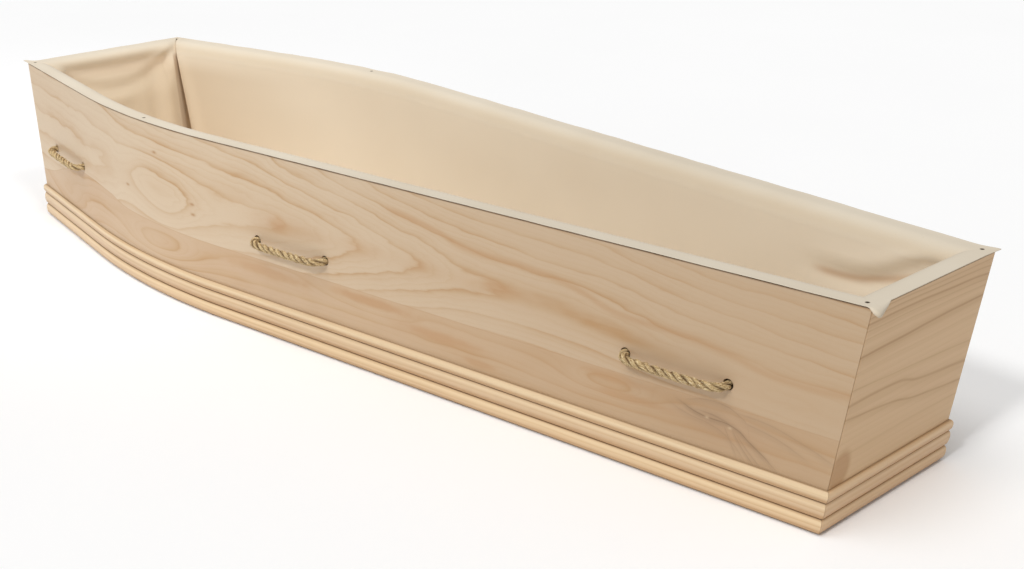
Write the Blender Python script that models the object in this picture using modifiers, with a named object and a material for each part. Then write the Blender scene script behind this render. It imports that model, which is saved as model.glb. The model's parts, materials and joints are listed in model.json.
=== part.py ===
# Pine coffin: a shouldered box of pine boards with a beaded plinth, a cloth lining and rope handles.
#
# Metres, +Z up. The origin is at the middle of the underside. The head end is at -X and the foot end
# at +X. The right-hand side of someone lying in it is at -Y and the left-hand side at +Y.

import math

import bmesh
import bpy
from mathutils import Matrix, Vector

# The boards' outline, measured over the outside of their top edges
TOP_LENGTH = 1.930
HEAD_WIDTH = 0.343
SHOULDER_WIDTH = 0.547
FOOT_WIDTH = 0.274
SHOULDER_FROM_HEAD = 0.546
BEND_RADIUS = 1.520
BODY_HEIGHT = 0.310
BOARD = 0.018
BASE_BOARD = 0.018

# How far each wall's foot is set in from its top edge
SIDE_SET_IN = 0.0035
HEAD_SET_IN = 0.0205
FOOT_SET_IN = 0.0510

# The plinth moulding, from the lowest bead up
PLINTH_LIFT = 0.0020
PLINTH_DEPTH = 0.0060
LOW_BEAD_HEIGHT = 0.0215
MIDDLE_BEAD_HEIGHT = 0.0235
TOP_BEAD_HEIGHT = 0.0165
LOW_GROOVE_REST = 0.0022
TOP_GROOVE_REST = 0.0034
BEAD_FULLNESS = 3.0

# The lid's screw holes, at the corners and the shoulders
SCREW_HOLE = 0.0040
SCREW_DEPTH = 0.0300
SCREW_FROM_SIDE = 0.0105
SCREW_FROM_END = 0.0135
SCREW_PAST_SHOULDER = 0.0160

# The rope handles, three on each side
ROPE = 0.0120
HOLE_SPACING = 0.1570
HANDLE_HEIGHT = 0.1630
HANDLE_REACH = 0.0170
HANDLE_SAG = 0.0020
KNOT_LENGTH = 0.0200
HEAD_HANDLE_FROM_HEAD = 0.2000
FOOT_HANDLE_FROM_FOOT = 0.2630
MIDDLE_HANDLE_PAST_HALFWAY = 0.0100

# Clearances
GAP = 0.0003
MITRE_GAP = 0.0002
KNOT_GAP = 0.0005
ROPE_CLEARANCE = 0.00175
ROPE_REST = 0.00055
KNOT_SHOULDER = 0.0048
KNOT_TO_LINING = 0.0055

# What those sizes settle: the rope's holes and knots, and how far the rope hangs in its holes
ROPE_HOLE = ROPE + 2 * ROPE_CLEARANCE
ROPE_HANG = ROPE_CLEARANCE - ROPE_REST
KNOT = ROPE_HOLE + 2 * KNOT_SHOULDER

# The lining cloth, drawn over the top edges and hung down inside, clear of the knots
CLOTH = 0.0012
ROLL_OUT = KNOT_GAP + KNOT_LENGTH + KNOT_TO_LINING
ROLL_DROP = 0.0260
FLOOR_ROLL = 0.0080

# How finely the curves are divided
BEND_STEPS = 12
BEAD_STEPS = 6
ROLL_STEPS = 5
ROPE_STEP = 0.0095
CURVE_SAMPLES = 12
SMOOTH_ANGLE = math.radians(35)
HOLE_SIDES = 20
SCREW_SIDES = 12

HEAD_X = -TOP_LENGTH / 2
FOOT_X = TOP_LENGTH / 2
SIDES = {"right": -1, "left": 1}
HEAD_HANDLE_X = HEAD_X + HEAD_HANDLE_FROM_HEAD
FOOT_HANDLE_X = FOOT_X - FOOT_HANDLE_FROM_FOOT
MIDDLE_HANDLE_X = (HEAD_HANDLE_X + FOOT_HANDLE_X) / 2 + MIDDLE_HANDLE_PAST_HALFWAY
HANDLES = {"head": HEAD_HANDLE_X, "middle": MIDDLE_HANDLE_X, "foot": FOOT_HANDLE_X}


# Materials

def principled(name, colour, roughness):
    """A material with one Principled BSDF."""
    material = bpy.data.materials.new(name)
    material.use_nodes = True
    shader = material.node_tree.nodes["Principled BSDF"]
    shader.inputs["Base Color"].default_value = (*colour, 1.0)
    shader.inputs["Roughness"].default_value = roughness
    shader.inputs["Metallic"].default_value = 0.0
    material.diffuse_color = (*colour, 1.0)
    return material


def side_board_pine(name):
    return principled(name, (0.62, 0.47, 0.31), 0.55)


def end_board_pine(name):
    return principled(name, (0.55, 0.39, 0.24), 0.55)


def base_board_pine(name):
    return principled(name, (0.60, 0.46, 0.31), 0.65)


def moulding_pine(name):
    return principled(name, (0.68, 0.52, 0.33), 0.45)


def calico(name):
    return principled(name, (0.76, 0.66, 0.52), 0.90)


def sisal(name):
    return principled(name, (0.62, 0.45, 0.22), 0.85)


# Scene and objects

def clear_scene():
    for thing in list(bpy.data.objects):
        bpy.data.objects.remove(thing, do_unlink=True)


def new_collection(name):
    collection = bpy.data.collections.new(name)
    bpy.context.scene.collection.children.link(collection)
    return collection


def add_mesh(collection, name, bm, material):
    """Turn a bmesh into an object, with its faces pointing out."""
    bmesh.ops.recalc_face_normals(bm, faces=bm.faces)
    mesh = bpy.data.meshes.new(name)
    bm.to_mesh(mesh)
    bm.free()
    mesh.shade_smooth()
    mesh.set_sharp_from_angle(angle=SMOOTH_ANGLE)
    mesh.materials.append(material)
    thing = bpy.data.objects.new(name, mesh)
    collection.objects.link(thing)
    return thing


def cut(thing, cutter):
    """Take the cutter's shape out of a piece."""
    boolean = thing.modifiers.new(cutter.name, "BOOLEAN")
    boolean.operation = "DIFFERENCE"
    boolean.solver = "EXACT"
    boolean.object = cutter


# The plan of the walls

def lean(height):
    """How much of each wall's set-in is left at a height: 1 at the foot of the wall, 0 at its top."""
    return 1.0 - height / BODY_HEIGHT


def side_directions():
    """The directions of the right side's two straight runs, head to shoulder and shoulder to foot."""
    head_run = Vector((SHOULDER_FROM_HEAD, -(SHOULDER_WIDTH - HEAD_WIDTH) / 2)).normalized()
    foot_run = Vector((TOP_LENGTH - SHOULDER_FROM_HEAD, (SHOULDER_WIDTH - FOOT_WIDTH) / 2)).normalized()
    return head_run, foot_run


def outward(direction):
    """The horizontal direction out of the right side, square to one of its runs."""
    return Vector((direction.y, -direction.x))


def crossing(normal_a, reach_a, normal_b, reach_b):
    """The plan point that lies at given distances along two directions."""
    across = normal_a.x * normal_b.y - normal_a.y * normal_b.x
    x = (reach_a * normal_b.y - reach_b * normal_a.y) / across
    y = (normal_a.x * reach_b - normal_b.x * reach_a) / across
    return Vector((x, y))


def right_outline(height, side_out=0.0, head_out=0.0, foot_out=0.0):
    """The right side in plan at a height, from the head corner round the shoulder to the foot corner.

    The outs move the side and the two end walls outwards, or inwards where they are negative.
    """
    head_run, foot_run = side_directions()
    head_normal = outward(head_run)
    foot_normal = outward(foot_run)
    shoulder = Vector((HEAD_X + SHOULDER_FROM_HEAD, -SHOULDER_WIDTH / 2 + SIDE_SET_IN * lean(height)))
    head_reach = shoulder.dot(head_normal) + side_out
    foot_reach = shoulder.dot(foot_normal) + side_out
    end_normal = Vector((1.0, 0.0))
    head_line = HEAD_X + HEAD_SET_IN * lean(height) - head_out
    foot_line = FOOT_X - FOOT_SET_IN * lean(height) + foot_out
    points = [crossing(head_normal, head_reach, end_normal, head_line)]
    radius = BEND_RADIUS + side_out
    start = math.atan2(head_normal.y, head_normal.x)
    turn = head_normal.angle_signed(foot_normal)
    middle = (head_normal + foot_normal).normalized()
    corner = crossing(head_normal, head_reach, foot_normal, foot_reach)
    centre = corner - middle * radius / math.cos(turn / 2)
    for step in range(BEND_STEPS + 1):
        angle = start - turn * step / BEND_STEPS
        points.append(centre + radius * Vector((math.cos(angle), math.sin(angle))))
    points.append(crossing(foot_normal, foot_reach, end_normal, foot_line))
    return points


def ring(height, out):
    """The whole outline at a height, moved outwards, or inwards where out is negative."""
    right = right_outline(height, out, out, out)
    return right + [Vector((point.x, -point.y)) for point in reversed(right)]


def on_side(x, height, side):
    """The point, run direction and outward direction of a side wall's outer face at x and a height."""
    points = right_outline(height)
    index = 1
    while index < len(points) - 1 and points[index].x < x:
        index += 1
    run = (points[index] - points[index - 1]).normalized()
    y = points[index - 1].y + run.y / run.x * (x - points[index - 1].x)
    out = outward(run)
    point = Vector((x, -side * y, height))
    return point, Vector((run.x, -side * run.y, 0.0)), Vector((out.x, -side * out.y, 0.0))


# Mitred runs: boards and mouldings with one section, drawn along a wall

def loft(sections):
    """A closed solid through a row of sections, each with the same number of points."""
    bm = bmesh.new()
    loops = [[bm.verts.new(point) for point in section] for section in sections]
    for near, far in zip(loops, loops[1:]):
        for index in range(len(near)):
            after = (index + 1) % len(near)
            bm.faces.new((near[index], near[after], far[after], far[index]))
    bm.faces.new(list(reversed(loops[0])))
    bm.faces.new(loops[-1])
    return bm


def along_side(section, side):
    """Draw a section of (out, height) points along a side wall, mitred at both corners."""
    rows = [right_outline(height, out, out, out) for out, height in section]
    stations = []
    last = len(rows[0]) - 1
    for station in range(last + 1):
        shift = {0: MITRE_GAP, last: -MITRE_GAP}.get(station, 0.0)
        points = []
        for row, (out, height) in zip(rows, section):
            points.append((row[station].x + shift, -side * row[station].y, height))
        stations.append(points)
    return loft(stations)


def across_end(section, station):
    """Draw a section of (out, height) points across an end wall, mitred at both corners."""
    corners = [right_outline(height, out, out, out)[station] for out, height in section]
    stations = []
    for side in SIDES.values():
        points = []
        for corner, (out, height) in zip(corners, section):
            points.append((corner.x, -side * (corner.y + MITRE_GAP), height))
        stations.append(points)
    return loft(stations)


def board_section():
    return [(0.0, 0.0), (0.0, BODY_HEIGHT), (-BOARD, BODY_HEIGHT), (-BOARD, 0.0)]


def bead(bottom, height, lower_rest, upper_rest):
    """The rounded front of one bead, from the rest of the groove below it to that of the one above."""
    points = []
    for step in range(BEAD_STEPS + 1):
        share = step / BEAD_STEPS
        across = -math.cos(math.pi * share)
        swell = (1.0 - abs(across) ** BEAD_FULLNESS) ** (1.0 / BEAD_FULLNESS)
        rest = lower_rest if share < 0.5 else upper_rest
        points.append((rest + (PLINTH_DEPTH - rest) * swell, bottom + height * (1.0 + across) / 2))
    return points


def plinth_section():
    """The moulding's section: three beads on a flat back."""
    middle_bottom = PLINTH_LIFT + LOW_BEAD_HEIGHT
    top_bottom = middle_bottom + MIDDLE_BEAD_HEIGHT
    section = bead(PLINTH_LIFT, LOW_BEAD_HEIGHT, LOW_GROOVE_REST, LOW_GROOVE_REST)
    section += bead(middle_bottom, MIDDLE_BEAD_HEIGHT, LOW_GROOVE_REST, TOP_GROOVE_REST)[1:]
    section += bead(top_bottom, TOP_BEAD_HEIGHT, TOP_GROOVE_REST, LOW_GROOVE_REST)[1:]
    section.append((GAP, top_bottom + TOP_BEAD_HEIGHT))
    section.append((GAP, PLINTH_LIFT))
    return section


# Cutters

def cylinder_cutter(cutters, name, centre, axis, diameter, length, sides):
    """A round cutter about a point, hidden from renders and shown as wire."""
    bm = bmesh.new()
    bmesh.ops.create_cone(
        bm, cap_ends=True, segments=sides, radius1=diameter / 2, radius2=diameter / 2, depth=length)
    turn = Vector((0.0, 0.0, 1.0)).rotation_difference(axis).to_matrix().to_4x4()
    bmesh.ops.transform(bm, matrix=Matrix.Translation(centre) @ turn, verts=bm.verts)
    mesh = bpy.data.meshes.new(name)
    bm.to_mesh(mesh)
    bm.free()
    cutter = bpy.data.objects.new(name, mesh)
    cutters.objects.link(cutter)
    cutter.hide_render = True
    cutter.display_type = "WIRE"
    return cutter


def screw_places(side):
    """Where the lid's screws go into one side's top edge, by name."""
    inner = right_outline(BODY_HEIGHT, -SCREW_FROM_SIDE, -SCREW_FROM_END, -SCREW_FROM_END)
    x = HEAD_X + SHOULDER_FROM_HEAD + SCREW_PAST_SHOULDER
    edge, run, out = on_side(x, BODY_HEIGHT, side)
    shoulder = edge - out * SCREW_FROM_SIDE
    return {
        "head": Vector((inner[0].x, -side * inner[0].y, BODY_HEIGHT)),
        "shoulder": shoulder,
        "foot": Vector((inner[-1].x, -side * inner[-1].y, BODY_HEIGHT)),
    }


def screw_cutters(cutters):
    """One cutter for each lid screw, through the lining and down into the boards."""
    found = {}
    for hand, side in SIDES.items():
        for place, top in screw_places(side).items():
            name = f"screw_hole_{hand}_{place}"
            found[hand, place] = cylinder_cutter(
                cutters, name, top, Vector((0.0, 0.0, 1.0)), SCREW_HOLE, 2 * SCREW_DEPTH, SCREW_SIDES)
    return found


def handle_frame(place, side):
    """A handle's middle on the wall's outer face, and its directions along and out of the wall."""
    return on_side(HANDLES[place], HANDLE_HEIGHT, side)


def rope_hole_cutters(cutters, hand, side):
    found = []
    for place in HANDLES:
        middle, run, out = handle_frame(place, side)
        for end, way in (("a", -1.0), ("b", 1.0)):
            centre = middle + run * way * HOLE_SPACING / 2
            name = f"rope_hole_{hand}_{place}_{end}"
            found.append(cylinder_cutter(cutters, name, centre, out, ROPE_HOLE, 4 * BOARD, HOLE_SIDES))
    return found


# The pieces

def base_board(parts, material):
    """The bottom board, cut square and let in between the walls."""
    outline = ring(0.0, -(BOARD + GAP))
    curve = bpy.data.curves.new("base_board", "CURVE")
    curve.dimensions = "2D"
    curve.fill_mode = "BOTH"
    curve.extrude = BASE_BOARD / 2
    spline = curve.splines.new("POLY")
    spline.points.add(len(outline) - 1)
    for point, place in zip(spline.points, outline):
        point.co = (place.x, place.y, 0.0, 1.0)
    spline.use_cyclic_u = True
    curve.materials.append(material)
    board = bpy.data.objects.new("base_board", curve)
    board.location.z = BASE_BOARD / 2
    parts.objects.link(board)
    return board


def side_board(parts, cutters, hand, side, screws, material):
    """One long side, a board bent round the shoulder and drilled for the handles and the lid screws."""
    board = add_mesh(parts, f"side_board_{hand}", along_side(board_section(), side), material)
    for cutter in rope_hole_cutters(cutters, hand, side):
        cut(board, cutter)
    for place in ("head", "shoulder", "foot"):
        cut(board, screws[hand, place])
    return board


def end_board(parts, place, station, screws, material):
    """The head or foot board, leaning out towards its top edge."""
    board = add_mesh(parts, f"{place}_board", across_end(board_section(), station), material)
    for hand in SIDES:
        cut(board, screws[hand, place])
    return board


def plinths(parts):
    """The mitred moulding round the foot of the walls."""
    section = plinth_section()
    for hand, side in SIDES.items():
        name = f"plinth_{hand}"
        add_mesh(parts, name, along_side(section, side), moulding_pine(name))
    for place, station in (("head", 0), ("foot", -1)):
        name = f"plinth_{place}"
        add_mesh(parts, name, across_end(section, station), moulding_pine(name))


def lining_rings():
    """The back of the lining as (out, height) rings, from its edge on the rim in to the floor."""
    rim = BODY_HEIGHT + GAP
    floor = BASE_BOARD + GAP
    rings = [(0.0, rim)]
    for step in range(ROLL_STEPS + 1):
        angle = math.pi / 2 * step / ROLL_STEPS
        rings.append((-BOARD - ROLL_OUT * math.sin(angle), rim - ROLL_DROP * (1 - math.cos(angle))))
    for step in range(ROLL_STEPS + 1):
        angle = math.pi / 2 * step / ROLL_STEPS
        out = -BOARD - ROLL_OUT - FLOOR_ROLL * (1 - math.cos(angle))
        rings.append((out, floor + FLOOR_ROLL * (1 - math.sin(angle))))
    return rings


def lining(parts, screws, material):
    """The cloth: a thin open sheet of rings, closed by the floor, and given its thickness."""
    bm = bmesh.new()
    loops = []
    for out, height in lining_rings():
        loops.append([bm.verts.new((point.x, point.y, height)) for point in ring(height, out)])
    for near, far in zip(loops, loops[1:]):
        for index in range(len(near)):
            after = (index + 1) % len(near)
            bm.faces.new((near[index], near[after], far[after], far[index]))
    floor = bm.faces.new(loops[-1])
    bmesh.ops.recalc_face_normals(bm, faces=bm.faces)
    floor.normal_update()
    if floor.normal.z < 0:
        bmesh.ops.reverse_faces(bm, faces=bm.faces)
    mesh = bpy.data.meshes.new("lining")
    bm.to_mesh(mesh)
    bm.free()
    mesh.materials.append(material)
    sheet = bpy.data.objects.new("lining", mesh)
    parts.objects.link(sheet)
    solidify = sheet.modifiers.new("cloth", "SOLIDIFY")
    solidify.thickness = CLOTH
    solidify.offset = 1.0
    solidify.use_even_offset = True
    for cutter in screws.values():
        cut(sheet, cutter)
    return sheet


def handle_route():
    """The rope's route as (along, out, up) about the handle's middle on the wall's outer face.

    It starts at a knot's seat behind the board, comes out of one hole, bows away from the wall and
    hangs a little, and goes back through the other hole to its second knot.
    """
    half = HOLE_SPACING / 2
    reach = HANDLE_REACH
    first_half = [
        (-half, -BOARD - KNOT_GAP, 0.0),
        (-half, 0.0, 0.0),
        (-half + 0.06 * reach, 0.40 * reach, -0.10 * HANDLE_SAG),
        (-half + 0.42 * reach, 0.78 * reach, -0.35 * HANDLE_SAG),
        (-half + 1.20 * reach, 0.97 * reach, -0.75 * HANDLE_SAG),
    ]
    second_half = [(-along, out, up) for along, out, up in reversed(first_half)]
    return first_half + [(0.0, reach, -HANDLE_SAG)] + second_half


def smooth_points(route, step):
    """Even points on a Catmull-Rom curve through a route."""
    padded = [route[0] + (route[0] - route[1])] + route + [route[-1] + (route[-1] - route[-2])]
    dense = []
    for index in range(1, len(padded) - 2):
        before, near, far, after = padded[index - 1:index + 3]
        for sample in range(CURVE_SAMPLES):
            share = sample / CURVE_SAMPLES
            pull = near * 2 + (far - before) * share
            pull += (before * 2 - near * 5 + far * 4 - after) * share ** 2
            pull += (near * 3 - before - far * 3 + after) * share ** 3
            dense.append(pull / 2)
    dense.append(route[-1])
    lengths = [0.0]
    for near, far in zip(dense, dense[1:]):
        lengths.append(lengths[-1] + (far - near).length)
    count = round(lengths[-1] / step)
    points = []
    index = 0
    for number in range(count + 1):
        wanted = lengths[-1] * number / count
        while index < len(dense) - 2 and lengths[index + 1] < wanted:
            index += 1
        share = (wanted - lengths[index]) / (lengths[index + 1] - lengths[index])
        points.append(dense[index].lerp(dense[index + 1], share))
    return points


def knot_points(start, inward):
    """A stopper knot as points and diameters, from its tail to where the rope goes into the board."""
    shares = [(1.0, 0.55), (0.85, 0.90), (0.5, 1.0), (0.2, 0.96), (0.06, 0.84)]
    return [(start + inward * KNOT_LENGTH * share, KNOT * size) for share, size in shares]


def handle(parts, hand, side, place):
    """One rope handle with its two knots."""
    middle, run, out = handle_frame(place, side)
    up = Vector((0.0, 0.0, 1.0))
    middle = middle - up * ROPE_HANG
    route = [middle + run * a + out * o + up * u for a, o, u in handle_route()]
    rope = [(point, ROPE) for point in smooth_points(route, ROPE_STEP)]
    path = knot_points(route[0], -out) + rope + list(reversed(knot_points(route[-1], -out)))
    name = f"handle_{hand}_{place}"
    curve = bpy.data.curves.new(name, "CURVE")
    curve.dimensions = "3D"
    curve.bevel_depth = ROPE / 2
    curve.bevel_resolution = 3
    curve.use_fill_caps = True
    spline = curve.splines.new("POLY")
    spline.points.add(len(path) - 1)
    for point, (centre, diameter) in zip(spline.points, path):
        point.co = (*centre, 1.0)
        point.radius = diameter / ROPE
    curve.materials.append(sisal(name))
    parts.objects.link(bpy.data.objects.new(name, curve))


def build():
    clear_scene()
    parts = new_collection("pine_coffin")
    cutters = new_collection("cutters")
    screws = screw_cutters(cutters)
    base_board(parts, base_board_pine("base_board"))
    for hand, side in SIDES.items():
        name = f"side_board_{hand}"
        side_board(parts, cutters, hand, side, screws, side_board_pine(name))
    end_board(parts, "head", 0, screws, end_board_pine("head_board"))
    end_board(parts, "foot", -1, screws, end_board_pine("foot_board"))
    plinths(parts)
    lining(parts, screws, calico("lining"))
    for hand, side in SIDES.items():
        for place in HANDLES:
            handle(parts, hand, side, place)


build()
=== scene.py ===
# Pine coffin: the finish of its boards and mouldings, its lining cloth and its rope handles.
# Metres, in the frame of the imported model. The head end is at -X and the foot end at +X.

import json
import math
import random

import bmesh
import bpy
from mathutils import Matrix, Vector, noise
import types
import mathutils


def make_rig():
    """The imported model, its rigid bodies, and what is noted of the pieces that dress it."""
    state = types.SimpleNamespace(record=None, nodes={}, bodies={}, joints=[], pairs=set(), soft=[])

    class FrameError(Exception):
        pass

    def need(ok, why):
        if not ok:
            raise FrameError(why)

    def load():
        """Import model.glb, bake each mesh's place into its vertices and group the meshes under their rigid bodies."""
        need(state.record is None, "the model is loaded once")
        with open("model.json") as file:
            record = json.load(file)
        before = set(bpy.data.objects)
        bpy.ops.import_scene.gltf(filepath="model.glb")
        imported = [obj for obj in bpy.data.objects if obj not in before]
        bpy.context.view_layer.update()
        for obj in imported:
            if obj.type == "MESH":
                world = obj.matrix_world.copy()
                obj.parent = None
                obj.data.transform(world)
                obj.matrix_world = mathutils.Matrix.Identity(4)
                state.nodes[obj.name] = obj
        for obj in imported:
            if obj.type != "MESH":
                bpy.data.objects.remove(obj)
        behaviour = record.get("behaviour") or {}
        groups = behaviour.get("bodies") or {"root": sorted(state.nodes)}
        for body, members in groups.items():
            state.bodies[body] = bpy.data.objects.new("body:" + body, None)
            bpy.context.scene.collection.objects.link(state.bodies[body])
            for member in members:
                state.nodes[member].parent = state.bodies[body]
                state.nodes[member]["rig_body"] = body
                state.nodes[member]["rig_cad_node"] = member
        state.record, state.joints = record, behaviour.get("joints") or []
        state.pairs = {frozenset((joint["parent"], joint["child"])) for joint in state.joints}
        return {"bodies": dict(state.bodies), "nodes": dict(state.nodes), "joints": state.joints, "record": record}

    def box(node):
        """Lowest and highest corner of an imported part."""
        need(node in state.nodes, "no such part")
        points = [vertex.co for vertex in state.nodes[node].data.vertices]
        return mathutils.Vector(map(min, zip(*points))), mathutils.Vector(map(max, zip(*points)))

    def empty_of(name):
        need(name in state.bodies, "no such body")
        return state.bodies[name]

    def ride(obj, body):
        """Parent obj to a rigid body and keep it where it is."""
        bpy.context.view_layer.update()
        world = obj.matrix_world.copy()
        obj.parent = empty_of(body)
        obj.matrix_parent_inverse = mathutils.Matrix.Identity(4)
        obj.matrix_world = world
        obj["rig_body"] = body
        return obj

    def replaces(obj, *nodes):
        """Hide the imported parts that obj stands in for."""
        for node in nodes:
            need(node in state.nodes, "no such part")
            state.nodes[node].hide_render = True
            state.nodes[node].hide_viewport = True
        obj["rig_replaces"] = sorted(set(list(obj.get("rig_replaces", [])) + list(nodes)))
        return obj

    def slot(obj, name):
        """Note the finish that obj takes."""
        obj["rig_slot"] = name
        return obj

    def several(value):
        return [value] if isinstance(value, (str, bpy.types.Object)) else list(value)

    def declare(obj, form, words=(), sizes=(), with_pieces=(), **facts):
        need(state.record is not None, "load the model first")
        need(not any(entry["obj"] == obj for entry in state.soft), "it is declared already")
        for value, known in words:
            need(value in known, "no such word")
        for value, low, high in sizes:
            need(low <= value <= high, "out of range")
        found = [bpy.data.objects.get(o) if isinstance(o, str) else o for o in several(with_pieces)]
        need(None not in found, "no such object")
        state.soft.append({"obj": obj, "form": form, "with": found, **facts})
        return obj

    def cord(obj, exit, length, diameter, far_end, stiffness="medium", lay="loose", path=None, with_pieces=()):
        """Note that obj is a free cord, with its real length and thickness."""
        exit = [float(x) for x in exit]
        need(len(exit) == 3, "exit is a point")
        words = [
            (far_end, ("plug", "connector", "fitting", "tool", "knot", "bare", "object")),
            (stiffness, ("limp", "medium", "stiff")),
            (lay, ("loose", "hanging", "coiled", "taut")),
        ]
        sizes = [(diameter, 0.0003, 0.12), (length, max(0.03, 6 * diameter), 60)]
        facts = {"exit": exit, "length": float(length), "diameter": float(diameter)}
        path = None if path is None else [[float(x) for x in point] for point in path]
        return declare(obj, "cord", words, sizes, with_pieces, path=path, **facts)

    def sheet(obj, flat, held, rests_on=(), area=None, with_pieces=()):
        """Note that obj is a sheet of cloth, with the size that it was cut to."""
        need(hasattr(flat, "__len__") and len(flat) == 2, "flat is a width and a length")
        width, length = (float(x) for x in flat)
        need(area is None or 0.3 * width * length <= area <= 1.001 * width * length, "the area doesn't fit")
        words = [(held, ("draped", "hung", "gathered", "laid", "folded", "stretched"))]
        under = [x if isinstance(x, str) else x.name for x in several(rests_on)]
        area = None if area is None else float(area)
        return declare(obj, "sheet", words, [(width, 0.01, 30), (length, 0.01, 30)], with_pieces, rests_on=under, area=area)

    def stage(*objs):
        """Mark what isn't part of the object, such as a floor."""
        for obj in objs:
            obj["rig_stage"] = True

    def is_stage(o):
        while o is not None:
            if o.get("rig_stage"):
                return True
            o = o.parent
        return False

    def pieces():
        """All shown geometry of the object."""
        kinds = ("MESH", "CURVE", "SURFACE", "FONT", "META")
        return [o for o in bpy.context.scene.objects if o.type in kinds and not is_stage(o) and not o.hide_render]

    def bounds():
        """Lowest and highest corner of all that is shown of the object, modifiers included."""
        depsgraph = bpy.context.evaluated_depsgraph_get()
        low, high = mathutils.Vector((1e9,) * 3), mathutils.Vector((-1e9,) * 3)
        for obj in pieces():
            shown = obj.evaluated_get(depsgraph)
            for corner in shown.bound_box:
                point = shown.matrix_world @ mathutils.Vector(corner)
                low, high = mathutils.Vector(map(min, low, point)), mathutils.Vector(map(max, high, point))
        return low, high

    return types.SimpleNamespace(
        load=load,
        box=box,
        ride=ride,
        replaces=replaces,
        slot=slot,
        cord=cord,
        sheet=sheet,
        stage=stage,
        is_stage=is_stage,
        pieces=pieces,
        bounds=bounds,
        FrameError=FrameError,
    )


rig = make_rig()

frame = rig.load()
cad_low, cad_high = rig.bounds()

UP = Vector((0.0, 0.0, 1.0))
RIGHT, LEFT = -1.0, 1.0
SIDES = {"right": RIGHT, "left": LEFT}
# Where each end's corner stands in a list that runs from head to foot
ENDS = {"head": 0, "foot": -1}

# The boards' outline, as in the part
HEAD_WIDTH = 0.343
SHOULDER_WIDTH = 0.547
FOOT_WIDTH = 0.274
SHOULDER_FROM_HEAD = 0.546
BEND_RADIUS = 1.52
BOARD = 0.018
SIDE_SET_IN = 0.0035
HEAD_SET_IN = 0.0205
FOOT_SET_IN = 0.051
BODY_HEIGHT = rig.box("side_board_right")[1].z
HEAD_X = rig.box("head_board")[0].x
FOOT_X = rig.box("foot_board")[1].x
TOP_LENGTH = FOOT_X - HEAD_X
SHOULDER_X = HEAD_X + SHOULDER_FROM_HEAD
MITRE_GAP = 0.0003
GAP = 0.0003
WORN_EDGE = 0.0006

# The moulding's section
PLINTH_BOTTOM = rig.box("plinth_right")[0].z
PLINTH_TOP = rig.box("plinth_right")[1].z
PLINTH_DEPTH = 0.006
LOW_BEAD = 0.0215
TOP_BEAD = 0.0165
LOW_GROOVE = PLINTH_BOTTOM + LOW_BEAD
TOP_GROOVE = PLINTH_TOP - TOP_BEAD
LOW_REST = 0.0012
TOP_REST = 0.0018
BEAD_FULLNESS = 2.3

# The handles
ROPE = 0.012
ROPE_HOLE = 0.0155
ROPE_HANG = 0.0005
HOLE_SPACING = 0.157
HANDLE_HEIGHT = 0.163
HANDLE_REACH = 0.017
HANDLE_SAG = 0.002
KNOT_GAP = 0.0005
KNOT_LENGTH = 0.02
HEAD_HANDLE_X = HEAD_X + 0.2
FOOT_HANDLE_X = FOOT_X - 0.263
HANDLES = {
    "head": HEAD_HANDLE_X,
    "middle": (HEAD_HANDLE_X + FOOT_HANDLE_X) / 2 + 0.01,
    "foot": FOOT_HANDLE_X,
}

# The lid's screw holes
SCREW_HOLE = 0.004
SCREW_DEPTH = 0.03
SCREW_FROM_SIDE = 0.0105
SCREW_FROM_END = 0.0135
SCREW_PAST_SHOULDER = 0.016

# The lining
CLOTH = 0.0009
OVERHANG = 0.0012
RIM_GAP = 0.0009
ROLL_OUT = 0.026
ROLL_DROP = 0.026
FLOOR_ROLL = 0.008
FLOOR_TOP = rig.box("base_board")[1].z + 0.0004


def new_object(name, data):
    thing = bpy.data.objects.new(name, data)
    bpy.context.scene.collection.objects.link(thing)
    return thing


def mesh_object(name, bm):
    mesh = bpy.data.meshes.new(name)
    bm.to_mesh(mesh)
    bm.free()
    return new_object(name, mesh)


# Camera, light and floor

CAMERA_PLACE = Vector((1.8024, -1.5078, 0.9308))
CAMERA_YAW = 0.803
CAMERA_PITCH = 0.3614
CAMERA_ROLL = -0.0103
IMAGE_WIDTH = 1024
FOCAL_PIXELS = 1484.4
SHIFT_PIXELS = (-1.76, 0.79)
SENSOR = 36.0
FLOOR_REACH = 14.0


def make_camera():
    """The photograph's viewpoint, found from the coffin's edges."""
    data = bpy.data.cameras.new("camera")
    data.sensor_fit = "HORIZONTAL"
    data.sensor_width = SENSOR
    data.lens = FOCAL_PIXELS * SENSOR / IMAGE_WIDTH
    data.shift_x = SHIFT_PIXELS[0] / IMAGE_WIDTH
    data.shift_y = SHIFT_PIXELS[1] / IMAGE_WIDTH
    camera = new_object("camera", data)
    turn = Matrix.Rotation(CAMERA_YAW, 4, "Z") @ Matrix.Rotation(math.pi / 2 - CAMERA_PITCH, 4, "X")
    turn = turn @ Matrix.Rotation(CAMERA_ROLL, 4, "Z")
    camera.matrix_world = Matrix.Translation(CAMERA_PLACE) @ turn
    bpy.context.scene.camera = camera


def add_lamp(name, kind, energy, direction):
    """A lamp that shines in a direction."""
    data = bpy.data.lights.new(name, kind)
    data.energy = energy
    lamp = new_object(name, data)
    lamp.rotation_euler = direction.to_track_quat("-Z", "Y").to_euler()
    return lamp


def far_light(name, direction, spread, strength):
    """Even light from one direction, from a patch of sky so many degrees wide."""
    lamp = add_lamp(name, "SUN", strength, Vector(direction))
    lamp.data.angle = math.radians(spread)


def inside_light(place, target, spread, watts):
    """A soft spot that reaches into the head end."""
    lamp = add_lamp("inside", "SPOT", watts, Vector(target) - Vector(place))
    lamp.location = place
    lamp.data.spot_size = math.radians(spread)
    lamp.data.spot_blend = 1.0
    lamp.data.shadow_soft_size = 0.5


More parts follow.
